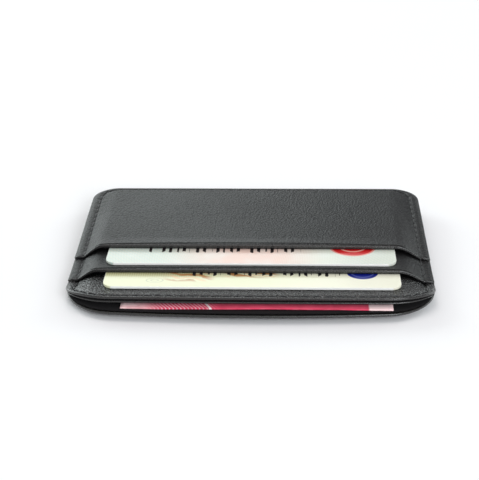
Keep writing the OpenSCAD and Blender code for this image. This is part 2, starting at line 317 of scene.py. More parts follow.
def dimples(D, A, depth, hole=0.16, width=0.5):
    """How much a row of stitches pulls the leather down."""
    phase = (A / PITCH) % 1.0
    near_hole = np.minimum(phase, 1 - phase) * PITCH
    groove = depth * np.exp(-((D / width) ** 2))
    holes = hole * np.exp(-((D / 0.32) ** 2) - ((near_hole / 0.34) ** 2))
    puff = 0.05 * np.exp(-(((D - 1.0) / 0.45) ** 2)) * (0.5 - 0.5 * np.cos(2 * math.pi * phase))
    return groove + holes - puff


# ---------------------------------------------------------------- grids
def cols(step=0.55, cut=0.0):
    hw = HALF_W - cut
    zones = [
        (0, 42.6, step),
        (42.6, 49.4, 0.42),
        (49.4, 51.9, 0.2),
        (51.9, 53.0, 0.22),
        (53.0, hw, 0.12),
    ]
    xs = [0.0]
    for a, b, d in zones:
        n = max(1, int(round((b - a) / d)))
        xs += list(np.linspace(a, b, n + 1)[1:])
    xs = np.array(xs)
    return np.concatenate([-xs[:0:-1], xs])


def rows(*zones):
    ts = [zones[0][0]]
    for a, b, d in zones:
        n = max(1, int(round((b - a) / d)))
        ts += list(np.linspace(a, b, n + 1)[1:])
    return np.array(ts)


def rear_zones(start, step=0.5, fine=True):
    """Rows from start to the rear edge, close together at the rear seam."""
    f = 0.2 if fine else 0.7
    end = REAR_Y
    return [
        (start, end - 6.0, step),
        (end - 6.0, end - 4.2, 0.3 if fine else 0.8),
        (end - 4.2, end - 2.2, f),
        (end - 2.2, end - 0.3, 0.25 if fine else 0.8),
    ]


def undulate(X, Y, amount, seed):
    """Slow unevenness of hand-worked leather."""
    rng = np.random.default_rng(seed)
    z = np.zeros(X.shape)
    for _ in range(7):
        kx, ky = rng.uniform(0.03, 0.16, 2)
        a, b = rng.uniform(0, 2 * math.pi, 2)
        z += np.sin(kx * X + a) * np.sin(ky * Y + b)
    return amount * z / 3


def fall_of(t):
    return DROP * ease((t - FLOOR_Y + 0.7) / 1.4)


# ---------------------------------------------------------------- materials
def node_tools(name, base, roughness, **settings):
    mat = bpy.data.materials.new(name)
    mat.use_nodes = True
    nt = mat.node_tree
    bsdf = nt.nodes["Principled BSDF"]
    bsdf.inputs["Base Color"].default_value = (*base, 1)
    bsdf.inputs["Roughness"].default_value = roughness
    for key, value in settings.items():
        bsdf.inputs[key.replace("_", " ")].default_value = value
    coord = nt.nodes.new("ShaderNodeTexCoord")

    def node(kind, **inputs):
        n = nt.nodes.new(kind)
        for key, value in inputs.items():
            key = key.replace("_", " ")
            if hasattr(value, "is_linked"):
                nt.links.new(value, n.inputs[key])
            else:
                n.inputs[key].default_value = value
        return n

    def math_node(op, a, b=0.0, c=None, clamp=False):
        n = nt.nodes.new("ShaderNodeMath")
        n.operation = op
        n.use_clamp = clamp
        for i, v in enumerate((a, b) if c is None else (a, b, c)):
            if hasattr(v, "is_linked"):
                nt.links.new(v, n.inputs[i])
            else:
                n.inputs[i].default_value = v
        return n.outputs[0]

    def mix(fac, a, b):
        n = nt.nodes.new("ShaderNodeMix")
        n.data_type = "RGBA"
        for i, v in ((0, fac), (6, a), (7, b)):
            if hasattr(v, "is_linked"):
                nt.links.new(v, n.inputs[i])
            else:
                n.inputs[i].default_value = (*v, 1) if isinstance(v, tuple) else v
        return n.outputs[2]

    def ramp(value, lo, hi, a=0.0, b=1.0):
        n = nt.nodes.new("ShaderNodeMapRange")
        n.interpolation_type = "SMOOTHSTEP"
        nt.links.new(value, n.inputs[0])
        for i, v in ((1, lo), (2, hi), (3, a), (4, b)):
            n.inputs[i].default_value = v
        return n.outputs[0]

    return mat, nt, bsdf, coord.outputs["Object"], node, math_node, mix, ramp


def leather_material(name, relief, rough_at, specular):
    """Black leather: pebbled grain, with shade painted as darker colour into the creases between the
    pebbles.
    """
    mat, nt, bsdf, obj, node, m, mix, ramp = node_tools(
        name, (0.006, 0.006, 0.0065), 0.4, Specular_IOR_Level=specular,
    )
    warp = node("ShaderNodeTexNoise", Vector=obj, Scale=420.0, Detail=2.0)
    add = nt.nodes.new("ShaderNodeVectorMath")
    add.operation = "MULTIPLY_ADD"
    nt.links.new(warp.outputs["Color"], add.inputs[0])
    add.inputs[1].default_value = (0.0006, 0.0006, 0.0006)
    nt.links.new(obj, add.inputs[2])
    pebble = node("ShaderNodeTexVoronoi", Vector=add.outputs[0], Scale=1700.0)
    pebble.feature = "SMOOTH_F1"
    pebble.inputs["Smoothness"].default_value = 0.35
    fine = node("ShaderNodeTexNoise", Vector=obj, Scale=3800.0, Detail=3.0)
    broad = node("ShaderNodeTexNoise", Vector=obj, Scale=60.0, Detail=3.0)
    cell = m("MULTIPLY", pebble.outputs["Distance"], -1.0)
    height = m("MULTIPLY_ADD", fine.outputs["Fac"], 0.35, cell)
    bump = node("ShaderNodeBump", Strength=relief, Distance=0.0003, Height=height)
    nt.links.new(bump.outputs[0], bsdf.inputs["Normal"])
    # Painted shade: the base colour darkens into the creases between the pebbles; the same mask also
    # roughens them.
    painted_crease_shade = ramp(pebble.outputs["Distance"], 0.2, 0.9)
    tone = mix(painted_crease_shade, (0.007, 0.0074, 0.0077), (0.002, 0.002, 0.0022))
    tone2 = mix(ramp(broad.outputs["Fac"], 0.35, 0.7), tone, (0.006, 0.0056, 0.0058))
    nt.links.new(tone2, bsdf.inputs["Base Color"])
    rough = m("MULTIPLY_ADD", broad.outputs["Fac"], 0.1, rough_at)
    rough = m("MULTIPLY_ADD", painted_crease_shade, 0.12, rough)
    nt.links.new(rough, bsdf.inputs["Roughness"])
    return mat


def lining_material():
    mat, nt, bsdf, obj, node, m, mix, ramp = node_tools(
        "lining_black", (0.006, 0.005, 0.0055), 0.85, Sheen_Weight=0.03, Specular_IOR_Level=0.15,
    )
    w1 = node("ShaderNodeTexWave", Vector=obj, Scale=900.0, Distortion=0.6)
    w1.bands_direction = "DIAGONAL"
    noise = node("ShaderNodeTexNoise", Vector=obj, Scale=2400.0, Detail=2.0)
    h = m("MULTIPLY_ADD", noise.outputs["Fac"], 0.5, w1.outputs["Fac"])
    bump = node("ShaderNodeBump", Strength=0.4, Distance=0.0001, Height=h)
    nt.links.new(bump.outputs[0], bsdf.inputs["Normal"])
    tone = mix(w1.outputs["Fac"], (0.004, 0.0035, 0.004), (0.010, 0.009, 0.010))
    nt.links.new(tone, bsdf.inputs["Base Color"])
    return mat


def edge_material():
    """Burnished and painted cut edges: smoother and shinier than the grain."""
    mat, nt, bsdf, obj, node, m, mix, ramp = node_tools(
        "leather_edge", (0.011, 0.0105, 0.0105), 0.26,
        Specular_IOR_Level=0.6, Coat_Weight=0.25, Coat_Roughness=0.2,
    )
    wear = node("ShaderNodeTexNoise", Vector=obj, Scale=900.0, Detail=3.0)
    bump = node("ShaderNodeBump", Strength=0.35, Distance=0.00012, Height=wear.outputs["Fac"])
    nt.links.new(bump.outputs[0], bsdf.inputs["Normal"])
    nt.links.new(m("MULTIPLY_ADD", wear.outputs["Fac"], 0.2, 0.18), bsdf.inputs["Roughness"])
    tone = mix(wear.outputs["Fac"], (0.007, 0.0065, 0.0065), (0.02, 0.019, 0.018))
    nt.links.new(tone, bsdf.inputs["Base Color"])
    return mat


def board_material():
    mat, nt, bsdf, obj, node, m, mix, ramp = node_tools("fibre_board", (0.3, 0.28, 0.24), 0.9)
    noise = node("ShaderNodeTexNoise", Vector=obj, Scale=1800.0, Detail=5.0)
    bump = node("ShaderNodeBump", Strength=0.4, Distance=0.0001, Height=noise.outputs["Fac"])
    nt.links.new(bump.outputs[0], bsdf.inputs["Normal"])
    tone = mix(noise.outputs["Fac"], (0.24, 0.21, 0.17), (0.36, 0.33, 0.28))
    nt.links.new(tone, bsdf.inputs["Base Color"])
    return mat


def thread_material():
    mat, nt, bsdf, obj, node, m, mix, ramp = node_tools(
        "thread_black", (0.008, 0.008, 0.009), 0.5, Sheen_Weight=0.15, Sheen_Roughness=0.4,
    )
    noise = node("ShaderNodeTexNoise", Vector=obj, Scale=6000.0, Detail=2.0)
    bump = node("ShaderNodeBump", Strength=0.5, Distance=0.00008, Height=noise.outputs["Fac"])
    nt.links.new(bump.outputs[0], bsdf.inputs["Normal"])
    tone = mix(noise.outputs["Fac"], (0.005, 0.005, 0.006), (0.016, 0.016, 0.017))
    nt.links.new(tone, bsdf.inputs["Base Color"])
    return mat


LEATHER_MAT = leather_material("leather_black", 0.45, 0.3, 0.3)
FRONT_MAT = leather_material("leather_black_coarse", 0.95, 0.13, 1.0)
LINING_MAT = lining_material()
BOARD_MAT = board_material()
THREAD_MAT = thread_material()
EDGE_MAT = edge_material()


# ---------------------------------------------------------------- leather, linings, boards
def surface_pair(ts, xs, c0, c1, s0, s1, cut, drop, form):
    T, X = np.meshgrid(ts, xs, indexing="ij")
    Y = plan_y(T, X, cut, form)
    fall = fall_of(T) if drop else 0.0
    ZB = level(c0, s0, X, Y, fall)
    ZT = level(c1, s1, X, Y, fall)
    return T, X, Y, ZT, ZB


def lip(X, T, t0, rise, dome, crease, roll, back=7.0):
    """Relief beside a turned mouth: doubled leather, arched, rolling over past a pressed line."""
    d = T - t0
    mid = clip(1 - (X / 44.0) ** 2)
    at_seam = 1 - 0.75 * ease((np.abs(X) - 43.5) / 6.5)
    fold = (rise + dome * mid) * ease((back - d) / back)
    line_at = 0.75 + 0.8 * mid ** 0.7
    line = crease * np.exp(-(((d - line_at) / 0.17) ** 2))
    ridge = 0.4 * crease * np.exp(-(((d - line_at - 0.36) / 0.22) ** 2))
    over = roll * clip((line_at - 0.25 - d) / line_at) ** 2
    return (fold - line + ridge - over) * at_seam


def leather_piece(node, keys, t0, zones, side, seams, drop=False, mouth=None, seed=1, wave=0.0, mat=None,
                  form=PLAIN_FORM):
    c0, c1, s0, s1 = keys
    cut = 0.22
    ts = rows(*zones)
    xs = cols(0.55, cut)
    T, X, Y, ZT, ZB = surface_pair(ts, xs, c0, c1, s0, s1, cut, drop, form)
    relief = np.zeros(X.shape)
    d_edge = inset(X, Y)
    for path in seams:
        D, A = field(X, Y, path, 5.0 if path is SEAM else 2.5)
        relief -= dimples(D, A, 0.14 if path is SEAM else 0.42)
        if path is SEAM:
            pull = np.exp(-D / 1.3) * ease((d_edge - SEAM_IN - 0.3) / 0.8)
            relief -= 0.085 * pull * np.cos(2 * math.pi * A / PITCH)
            relief += 0.1 * np.exp(-(((d_edge - 1.3) / 0.75) ** 2))
        else:
            bead = np.exp(-(((T - t0 - 0.8) / 0.42) ** 2))
            relief += 0.04 * bead * (1 - ease((np.abs(X) - 44) / 5))
    quiet = ease((d_edge - 1.5) / 3)
    if mouth:
        relief += lip(X, T, t0, *mouth)
    if side > 0:
        ZT = ZT + relief + undulate(X, Y, wave, seed) * quiet
    else:
        ZB = ZB - relief
    ob = closed_panel(node + "_skin", X, Y, ZT, ZB, mat or LEATHER_MAT, edge_mat=EDGE_MAT)
    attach(ob, "holder")
    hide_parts(node)
    return ob


def plain_layer(node, keys, t0, t1, x_end, mat, drop=False, form=PLAIN_FORM, lip_down=0.0):
    c0, c1, s0, s1 = keys
    xs = np.unique(np.concatenate([
        np.linspace(-x_end, x_end, 60), np.linspace(42, x_end, 14), -np.linspace(42, x_end, 14),
    ]))
    ts = np.unique(np.concatenate([
        np.linspace(t0, t1, 46),
        np.linspace(t0, min(t0 + 6, t1), 16),
        np.linspace(max(t0, t1 - 6), t1, 14),
        [FLOOR_Y - 0.7, FLOOR_Y, FLOOR_Y + 0.7],
    ]))
    ts = ts[(ts >= t0) & (ts <= t1)]
    ts = ts[np.concatenate([[True], np.diff(ts) > 0.05])]
    T, X = np.meshgrid(ts, xs, indexing="ij")
    Y = plan_y(T, X, 0.0, form)
    fall = fall_of(T) if drop else 0.0
    ZB, ZT = level(c0, s0, X, Y, fall), level(c1, s1, X, Y, fall)
    if lip_down:
        ZB = ZB - lip_down * ease((5.0 - (T - t0)) / 5.0) * (1 - 0.8 * ease((np.abs(X) - 44) / 7))
        ob = closed_panel(node + "_sheet", X, Y, ZT, ZB, mat, BULL, EDGE_MAT)
    else:
        ob = closed_panel(node + "_sheet", X, Y, ZT, ZB, mat, ROUND)
    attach(ob, "holder")
    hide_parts(node)
    return ob


def keys(name, above=None, top=None):
    """Levels of a layer: underside and top over the cards, underside and top at the seam."""
    thick = {"bpu": SKIVED, "bpl": SKIVED, "fpl": SKIVED, "fpu": SKIVED,
             "back": LEATHER, "front": LEATHER,
             "bboard": BOARD, "fboard": BOARD, "blining": LINING, "flining": LINING,
             "bpul": THIN, "bpll": THIN, "fpll": THIN, "fpul": THIN}[name]
    s1 = S["top"] if above is None else S[above] - SKIN
    return C[name], C[name] + thick, S[name], s1


E = REAR_Y - 0.22
leather_piece(
    "front_pocket_upper", keys("fpu"), UPPER_Y,
    [(UPPER_Y + 0.4, UPPER_Y + 3, 0.12)] + rear_zones(UPPER_Y + 3)[:-1] + [(E - 2.0, E, 0.22)],
    1, [SEAM], mouth=(0.34, 0.3, 0.24, 0.42), seed=3, wave=0.07)
leather_piece(
    "front_pocket_lower", keys("fpl", "fpul"), LOWER_Y,
    [(LOWER_Y + 0.4, LOWER_Y + 3, 0.12), (LOWER_Y + 3, UPPER_Y + 2, 0.5), (UPPER_Y + 2, FLOOR_Y - 1, 2.0),
     (FLOOR_Y - 1, FLOOR_Y + 1, 0.35), (FLOOR_Y + 1, E - 6, 1.2), (E - 6, E, 0.5)],
    1, [SEAM], drop=True, mouth=(0.32, 0.22, 0.22, 0.4), seed=5)
leather_piece(
    "front_panel", keys("front", "fpll"), PANEL_Y,
    [(PANEL_Y + 0.42, PANEL_Y + 3.2, 0.16), (PANEL_Y + 3.2, LOWER_Y + 2, 0.45), (LOWER_Y + 2, E - 6, 2.0),
     (E - 6, E, 0.5)],
    1, [SEAM, FRONT_MOUTH], mat=FRONT_MAT, form=PANEL_FORM)
leather_piece(
    "back_panel", keys("back", "bboard"), FRONT_Y,
    [(FRONT_Y + 1.0, FRONT_Y + 3.2, 0.16), (FRONT_Y + 3.2, LOWER_Y + 2, 0.45), (LOWER_Y + 2, E - 6, 2.0),
     (E - 6, E, 0.5)],
    -1, [SEAM, BACK_MOUTH], form=BACK_FORM)
leather_piece(
    "back_pocket_lower", keys("bpl", "bpll"), LOWER_Y,
    [(LOWER_Y + 0.4, LOWER_Y + 3, 0.16), (LOWER_Y + 3, UPPER_Y + 2, 0.5), (UPPER_Y + 2, E - 6, 2.0),
     (E - 6, E, 0.5)],
    -1, [SEAM], mouth=(0.0, 0.0, 0.12, 0.15))
leather_piece(
    "back_pocket_upper", keys("bpu", "bpul"), UPPER_Y,
    [(UPPER_Y + 0.4, UPPER_Y + 3, 0.16)] + rear_zones(UPPER_Y + 3)[:-1] + [(E - 2.0, E, 0.22)],
    -1, [SEAM], mouth=(0.0, 0.0, 0.12, 0.15))

LINE_X, LINE_T = HALF_W - 1.4, REAR_Y - 1.4
BOARD_X, BOARD_T = HALF_W - 6.4, REAR_Y - REAR_FLAT
plain_layer("back_lining", keys("blining", "flining"), FRONT_Y + 1.1, LINE_T, LINE_X, LINING_MAT,
            form=BACK_FORM)
plain_layer("front_lining", keys("flining", "fboard"), PANEL_Y + 0.28, LINE_T, LINE_X, LINING_MAT,
            form=PANEL_FORM, lip_down=0.42)
plain_layer("front_pocket_lower_lining", keys("fpll", "fpl"), LOWER_Y + 0.4, LINE_T, LINE_X, LINING_MAT,
            drop=True)
plain_layer("front_pocket_upper_lining", keys("fpul", "fpu"), UPPER_Y + 0.4, LINE_T, LINE_X, LINING_MAT)
plain_layer("back_pocket_lower_lining", keys("bpll", "back"), LOWER_Y + 0.5, LINE_T, LINE_X, LINING_MAT)
plain_layer("back_pocket_upper_lining", keys("bpul", "bpl"), UPPER_Y + 0.5, LINE_T, LINE_X, LINING_MAT)
plain_layer("back_board", keys("bboard", "blining"), FRONT_Y + 2, BOARD_T, BOARD_X, BOARD_MAT,
            form=BACK_FORM)
plain_layer("front_board", keys("fboard", "front"), PANEL_Y + 3.2, BOARD_T, BOARD_X, BOARD_MAT,
            form=PANEL_FORM)


# ---------------------------------------------------------------- thread
def stitch_row(name, node, path, height, side, radius=0.27, skip=()):
    """A row of twisted stitches that dive into a hole at each end."""
    s = along(path)
    verts, faces = [], []
    n_u, n_v = 17, 10
    for k in range(int(s[-1] / PITCH)):
        a, b = k * PITCH + 0.18, (k + 1) * PITCH - 0.18
        u = np.linspace(0, 1, n_u)
        at = a + (b - a) * u
        x, y = np.interp(at, s, path[:, 0]), np.interp(at, s, path[:, 1])
        tx, ty = np.gradient(x), np.gradient(y)
        size = np.hypot(tx, ty)
        tx, ty = tx / size, ty / size
        nx, ny = -ty, tx
        mid = 0.5 * (y[0] + y[-1])
        if any(abs(mid - g) < w for g, w in skip):
            continue
        arch = np.sin(np.pi * u) ** 0.45
        z = height(x, y) + side * (-0.34 + 0.40 * arch)
        base = len(verts)
        for i in range(n_u):
            r = radius * (0.55 + 0.45 * arch[i])
            for j in range(n_v):
                th = 2 * math.pi * j / n_v
                ply = 1 + 0.13 * math.cos(2 * th + 9.0 * u[i])
                c, q = r * ply * math.cos(th), r * 0.85 * ply * math.sin(th)
                verts.append((x[i] + nx[i] * c, y[i] + ny[i] * c, z[i] + q))
        for i in range(n_u - 1):
            for j in range(n_v):
                p, q = base + i * n_v + j, base + i * n_v + (j + 1) % n_v
                faces.append((p, p + n_v, q + n_v, q))
        faces.append(tuple(base + j for j in range(n_v)))
        faces.append(tuple(base + (n_u - 1) * n_v + j for j in reversed(range(n_v))))
    ob = add_mesh(name, verts, faces, THREAD_MAT)
    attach(ob, "holder")
    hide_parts(node)
    return ob


def top_height(x, y):
    upper = level(*[keys("fpu")[i] for i in (1, 3)], x, y)
    lower = level(*[keys("fpl", "fpul")[i] for i in (1, 3)], x, y)
    return np.where(y > UPPER_Y, upper, lower) - 0.1


def under_height(x, y):
    upper = level(*[keys("bpu", "bpul")[i] for i in (0, 2)], x, y)
    lower = level(*[keys("bpl", "bpll")[i] for i in (0, 2)], x, y)
    return np.where(y > UPPER_Y, upper, lower) + 0.1


def front_height(x, y):
    return level(*[keys("front", "fpll")[i] for i in (1, 3)], x, y) - 0.14


def back_height(x, y):
    return level(*[keys("back", "bboard")[i] for i in (0, 2)], x, y) + 0.14


GAPS = [(UPPER_Y, 1.2)]
stitch_row("outer_stitches_top", "outer_seam_top", SEAM, top_height, 1, skip=GAPS)
stitch_row("outer_stitches_under", "outer_seam_bottom", SEAM, under_height, -1, skip=GAPS)
stitch_row("front_mouth_stitches", "front_mouth_seam", FRONT_MOUTH, front_height, 1, radius=0.22)
stitch_row("back_mouth_stitches", "back_mouth_seam", BACK_MOUTH, back_height, -1, radius=0.22)
FLOOR = resample(np.array([(-43.0, FLOOR_Y + 2.2), (43.0, FLOOR_Y + 2.2)]), 0.1)


def floor_height(x, y):
    return level(*[keys("fpl", "fpul")[i] for i in (1, 3)], x, y, DROP)


stitch_row("front_floor_stitches", "front_floor_seam", FLOOR, floor_height, 1, radius=0.2)


# ---------------------------------------------------------------- cards
def card_mesh(name, node, mat):
    """A plastic card with rounded corners and softened edges, on the CAD card's place and slope."""
    lo, hi = box_mm(node)
    centre = (lo + hi) / 2
    w, h, t, r = CARD_W, CARD_D, CARD_T, CARD_R
    tilt = math.radians(-TILT_DEG)
    soft = 0.1
    outline = []
    for cx, cy, a0 in ((1, 1, 0), (-1, 1, 90), (-1, -1, 180), (1, -1, 270)):
        for k in range(15):
            a = math.radians(a0 + 90 * k / 14)
            outline.append((cx * (w / 2 - r), cy * (h / 2 - r), math.cos(a), math.sin(a)))
    loops = []
    for phi in np.linspace(90, 0, 5):
        p = math.radians(phi)
        loops.append((r - soft + soft * math.cos(p), t / 2 - soft + soft * math.sin(p)))
    loops += [(rr, -z) for rr, z in loops[::-1]]
    verts, n = [], len(outline)
    for rr, z in loops:
        for cx, cy, ux, uy in outline:
            x, y = cx + rr * ux, cy + rr * uy
            verts.append((centre[0] + x, centre[1] + y * math.cos(tilt) - z * math.sin(tilt),
                          centre[2] + y * math.sin(tilt) + z * math.cos(tilt)))
    faces = [tuple(range(n)), tuple(range(len(loops) * n - 1, (len(loops) - 1) * n - 1, -1))]
    for k in range(len(loops) - 1):
        a = list(range(k * n, (k + 1) * n))
        b = list(range((k + 1) * n, (k + 2) * n))
        faces += [q[::-1] for q in strip(a, b)]
    ob = add_mesh(name, verts, faces, mat)
    ob.data.polygons[0].use_smooth = False
    ob.data.polygons[1].use_smooth = False
    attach(ob, node)
    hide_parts(node)
    return ob


def card_nodes(name, node_name):
    """The card's material, with plan coordinates in mm from the middle of its front edge."""
    lo, hi = box_mm(node_name)
    mat, nt, bsdf, obj, node, m, mix, ramp = node_tools(
        name, (0.8, 0.8, 0.8), 0.28, Coat_Weight=0.5, Coat_Roughness=0.12, Specular_IOR_Level=0.45,
    )
    split = nt.nodes.new("ShaderNodeSeparateXYZ")
    nt.links.new(obj, split.inputs[0])
    x = m("MULTIPLY_ADD", split.outputs[0], 1000.0, float(-(lo[0] + hi[0]) / 2))
    y = m("MULTIPLY_ADD", split.outputs[1], 1000.0, float(-lo[1]))
    return mat, nt, bsdf, obj, node, m, mix, ramp, x, y, (hi[0] - lo[0]) / 2


def band(m, ramp, v, a, b, soft=0.15):
    """1 between a and b, with soft ends."""
    return m("MULTIPLY", ramp(v, a - soft, a + soft), ramp(v, b - soft, b + soft, 1.0, 0.0))


def ticks(m, ramp, x, y, x0, x1, y0, seed):
    """Irregular groups of plain bars, standing in for a printed line."""
    group = m("GREATER_THAN", m("SINE", m("MULTIPLY_ADD", x, 1.19, seed)), -0.62)
    bars = m("GREATER_THAN", m("SINE", m("MULTIPLY_ADD", x, 3.1, seed * 1.7)), 0.05)
    low = m("MULTIPLY_ADD", m("SINE", m("MULTIPLY_ADD", x, 2.3, seed)), 0.5, y)
    on = m("MULTIPLY", group, bars)
    on = m("MULTIPLY", on, band(m, ramp, x, x0, x1, 0.05))
    return m("MULTIPLY", on, ramp(low, y0 - 0.1, y0 + 0.1))


def disc(m, x, y, cx, cy):
    dx, dy = m("SUBTRACT", x, cx), m("SUBTRACT", y, cy)
    return m("SQRT", m("ADD", m("MULTIPLY", dx, dx), m("MULTIPLY", dy, dy)))


def white_rim(m, mix, ramp, x, y, half_w, color, core):
    """The card's uncoloured core shows at its cut edge."""
    edge = ramp(m("ABSOLUTE", x), half_w - 0.14, half_w - 0.06, 1.0, 0.0)
    edge = m("MULTIPLY", edge, ramp(y, 0.06, 0.16))
    return mix(edge, core, color)


def card_upper_material():
    mat, nt, bsdf, obj, node, m, mix, ramp, x, y, half = card_nodes("card_print_green", "card_upper")
    green, pink, pale = (0.62, 0.68, 0.585), (0.82, 0.565, 0.475), (0.73, 0.76, 0.65)
    c = mix(ramp(x, -30, -4), green, pink)
    c = mix(ramp(x, 6, 24), c, pale)
    angle = m("ARCTAN2", m("ADD", y, 26.0), m("ADD", x, 5.0))
    rays = m("SINE", m("MULTIPLY", angle, 260.0))
    arcs = m("SINE", m("MULTIPLY", disc(m, x, y, -5.0, -26.0), 5.2))
    mesh = m("MULTIPLY_ADD", m("MULTIPLY", rays, arcs), 0.5, 0.5)
    c = mix(m("MULTIPLY", mesh, 0.22), c, (0.98, 0.96, 0.92))
    web = m("SINE", m("ADD", m("MULTIPLY", x, 4.6), m("MULTIPLY", y, 3.4)))
    ends = m("MULTIPLY", ramp(m("ABSOLUTE", m("ADD", x, -4.0)), 14.0, 30.0), 0.35)
    c = mix(m("MULTIPLY", ramp(web, 0.55, 1.0), ends), c, (0.42, 0.68, 0.70))
    wash = node("ShaderNodeTexNoise", Vector=obj, Scale=130.0, Detail=2.0)
    c = mix(m("MULTIPLY", ramp(wash.outputs["Fac"], 0.45, 0.7), 0.3), c, (0.80, 0.84, 0.80))
    d = disc(m, x, y, 30.3, 12.6)
    c = mix(band(m, ramp, d, 0.0, 7.1, 0.12), c, (0.86, 0.32, 0.27))
    c = mix(band(m, ramp, d, 0.0, 6.5, 0.1), c, (0.66, 0.012, 0.014))
    c = mix(band(m, ramp, d, 3.6, 4.3, 0.12), c, (0.9, 0.42, 0.34))
    c = mix(ticks(m, ramp, x, y, -30.6, 15.2, 7.9, 0.6), c, (0.018, 0.012, 0.012))
    c = white_rim(m, mix, ramp, x, y, half, c, (1.0, 0.99, 0.95))
    nt.links.new(c, bsdf.inputs["Base Color"])
    return mat


def card_lower_material():
    mat, nt, bsdf, obj, node, m, mix, ramp, x, y, half = card_nodes("card_print_cream", "card_lower")
    cream, yellow = (0.83, 0.84, 0.57), (0.50, 0.47, 0.20)
    cream = mix(ramp(x, -10.0, 36.0), cream, (0.92, 0.90, 0.74))
    lines = m("MULTIPLY_ADD", m("SINE", m("MULTIPLY", x, 9.5)), 0.25, 0.75)
    left = m("MULTIPLY", ramp(y, 4.5, 9.5), ramp(y, 13.0, 24.0, 1.0, 0.25))
    left = m("MULTIPLY", left, ramp(x, -18, -4, 1.0, 0.0))
    c = mix(m("MULTIPLY", left, lines), cream, yellow)
    d = m("SQRT", m("ADD", m("POWER", m("DIVIDE", m("ADD", x, 28.0), 2.6), 2.0),
                    m("POWER", m("DIVIDE", m("SUBTRACT", y, 4.1), 1.5), 2.0)))
    c = mix(m("MULTIPLY", band(m, ramp, d, 0.86, 1.0, 0.05), 0.45), c, (0.3, 0.33, 0.25))
    c = mix(m("MULTIPLY", band(m, ramp, d, 0.3, 0.5, 0.05), 0.35), c, (0.3, 0.33, 0.25))
    warp = node("ShaderNodeTexNoise", Vector=obj, Scale=170.0, Detail=3.0)
    slanted = m("ADD", m("MULTIPLY", y, 1.5), m("MULTIPLY", x, 0.45))
    ridge = m("SINE", m("ADD", slanted, m("MULTIPLY", warp.outputs["Fac"], 9.0)))
    for a, b, top in ((-24.5, -12.0, 2.6), (-7.5, 7.0, 5.2)):
        zone = m("MULTIPLY", band(m, ramp, x, a, b, 2.0), ramp(y, top, top + 2.5))
        zone = m("MULTIPLY", zone, ramp(y, 11.0, 15.0, 1.0, 0.0))
        c = mix(m("MULTIPLY", zone, ramp(ridge, 0.0, 0.9)), c, (0.52, 0.25, 0.09))
        trough = m("MULTIPLY", ramp(ridge, -1.0, -0.6, 1.0, 0.0), 0.8)
        c = mix(m("MULTIPLY", zone, trough), c, (0.9, 0.62, 0.36))
    d = disc(m, x, y, 32.0, 10.2)
    c = mix(band(m, ramp, d, 0.0, 4.65, 0.1), c, (0.006, 0.014, 0.24))
    c = mix(m("MULTIPLY", band(m, ramp, d, 3.1, 3.5, 0.1), 0.5), c, (0.2, 0.26, 0.6))
    c = mix(ticks(m, ramp, x, y, -20.0, 25.5, 7.6, 2.1), c, (0.014, 0.012, 0.014))
    c = white_rim(m, mix, ramp, x, y, half, c, (1.0, 1.0, 0.96))
    nt.links.new(c, bsdf.inputs["Base Color"])
    return mat


card_mesh("card_upper_plastic", "card_upper", card_upper_material())
card_mesh("card_lower_plastic", "card_lower", card_lower_material())


# ---------------------------------------------------------------- folded note
def note_material():
    lo = box_mm("banknote")[0]
    mat, nt, bsdf, obj, node, m, mix, ramp = node_tools(
        "note_paper_crimson", (0.5, 0.05, 0.1), 0.62, Sheen_Weight=0.1, Specular_IOR_Level=0.35,
    )
    split = nt.nodes.new("ShaderNodeSeparateXYZ")
    nt.links.new(obj, split.inputs[0])
    x = m("MULTIPLY_ADD", split.outputs[0], 1000.0, float(-lo[0]))
    y = m("MULTIPLY_ADD", split.outputs[1], 1000.0, float(-lo[1]))
    crimson, pale, deep = (0.72, 0.045, 0.115), (0.95, 0.70, 0.70), (0.42, 0.015, 0.05)
    c = mix(ramp(x, 2.0, 13.0), pale, crimson)
    hatch = m("SINE", m("ADD", m("MULTIPLY", x, 5.9), m("MULTIPLY", y, 4.4)))
    zone = band(m, ramp, x, 9.0, 25.5, 3.0)
    c = mix(m("MULTIPLY", zone, ramp(hatch, 0.1, 0.9)), c, (0.95, 0.52, 0.58))
    streak = m("ABSOLUTE", m("ADD", m("MULTIPLY_ADD", y, 0.55, -25.6), x))
    c = mix(ramp(streak, 0.25, 0.55, 1.0, 0.0), c, (0.93, 0.78, 0.78))
    sway = m("MULTIPLY", m("SINE", m("MULTIPLY", x, 0.7)), 2.0)
    fine = m("SINE", m("ADD", m("MULTIPLY", y, 14.0), sway))
    inked = m("MULTIPLY", ramp(x, 26.0, 30.0), 0.35)
    c = mix(m("MULTIPLY", ramp(fine, 0.2, 1.0), inked), c, (0.72, 0.2, 0.26))
    cloud = node("ShaderNodeTexNoise", Vector=obj, Scale=220.0, Detail=3.0)
    c = mix(m("MULTIPLY", ramp(cloud.outputs["Fac"], 0.4, 0.7), 0.4), c, deep)
    c = mix(ramp(x, 69.9, 70.4), c, pale)
    nt.links.new(c, bsdf.inputs["Base Color"])
    fibre = node("ShaderNodeTexNoise", Vector=obj, Scale=4200.0, Detail=3.0)
    bump = node("ShaderNodeBump", Strength=0.25, Distance=0.00006, Height=fibre.outputs["Fac"])
    nt.links.new(bump.outputs[0], bsdf.inputs["Normal"])
    return mat


def arc(cy, cz, r, a0, a1, n):
    """Points between the ends of a fold's arc."""
    turns = np.radians(np.linspace(a0, a1, n)[1:-1])
    return [(cy + r * math.cos(a), cz + r * math.sin(a)) for a in turns]


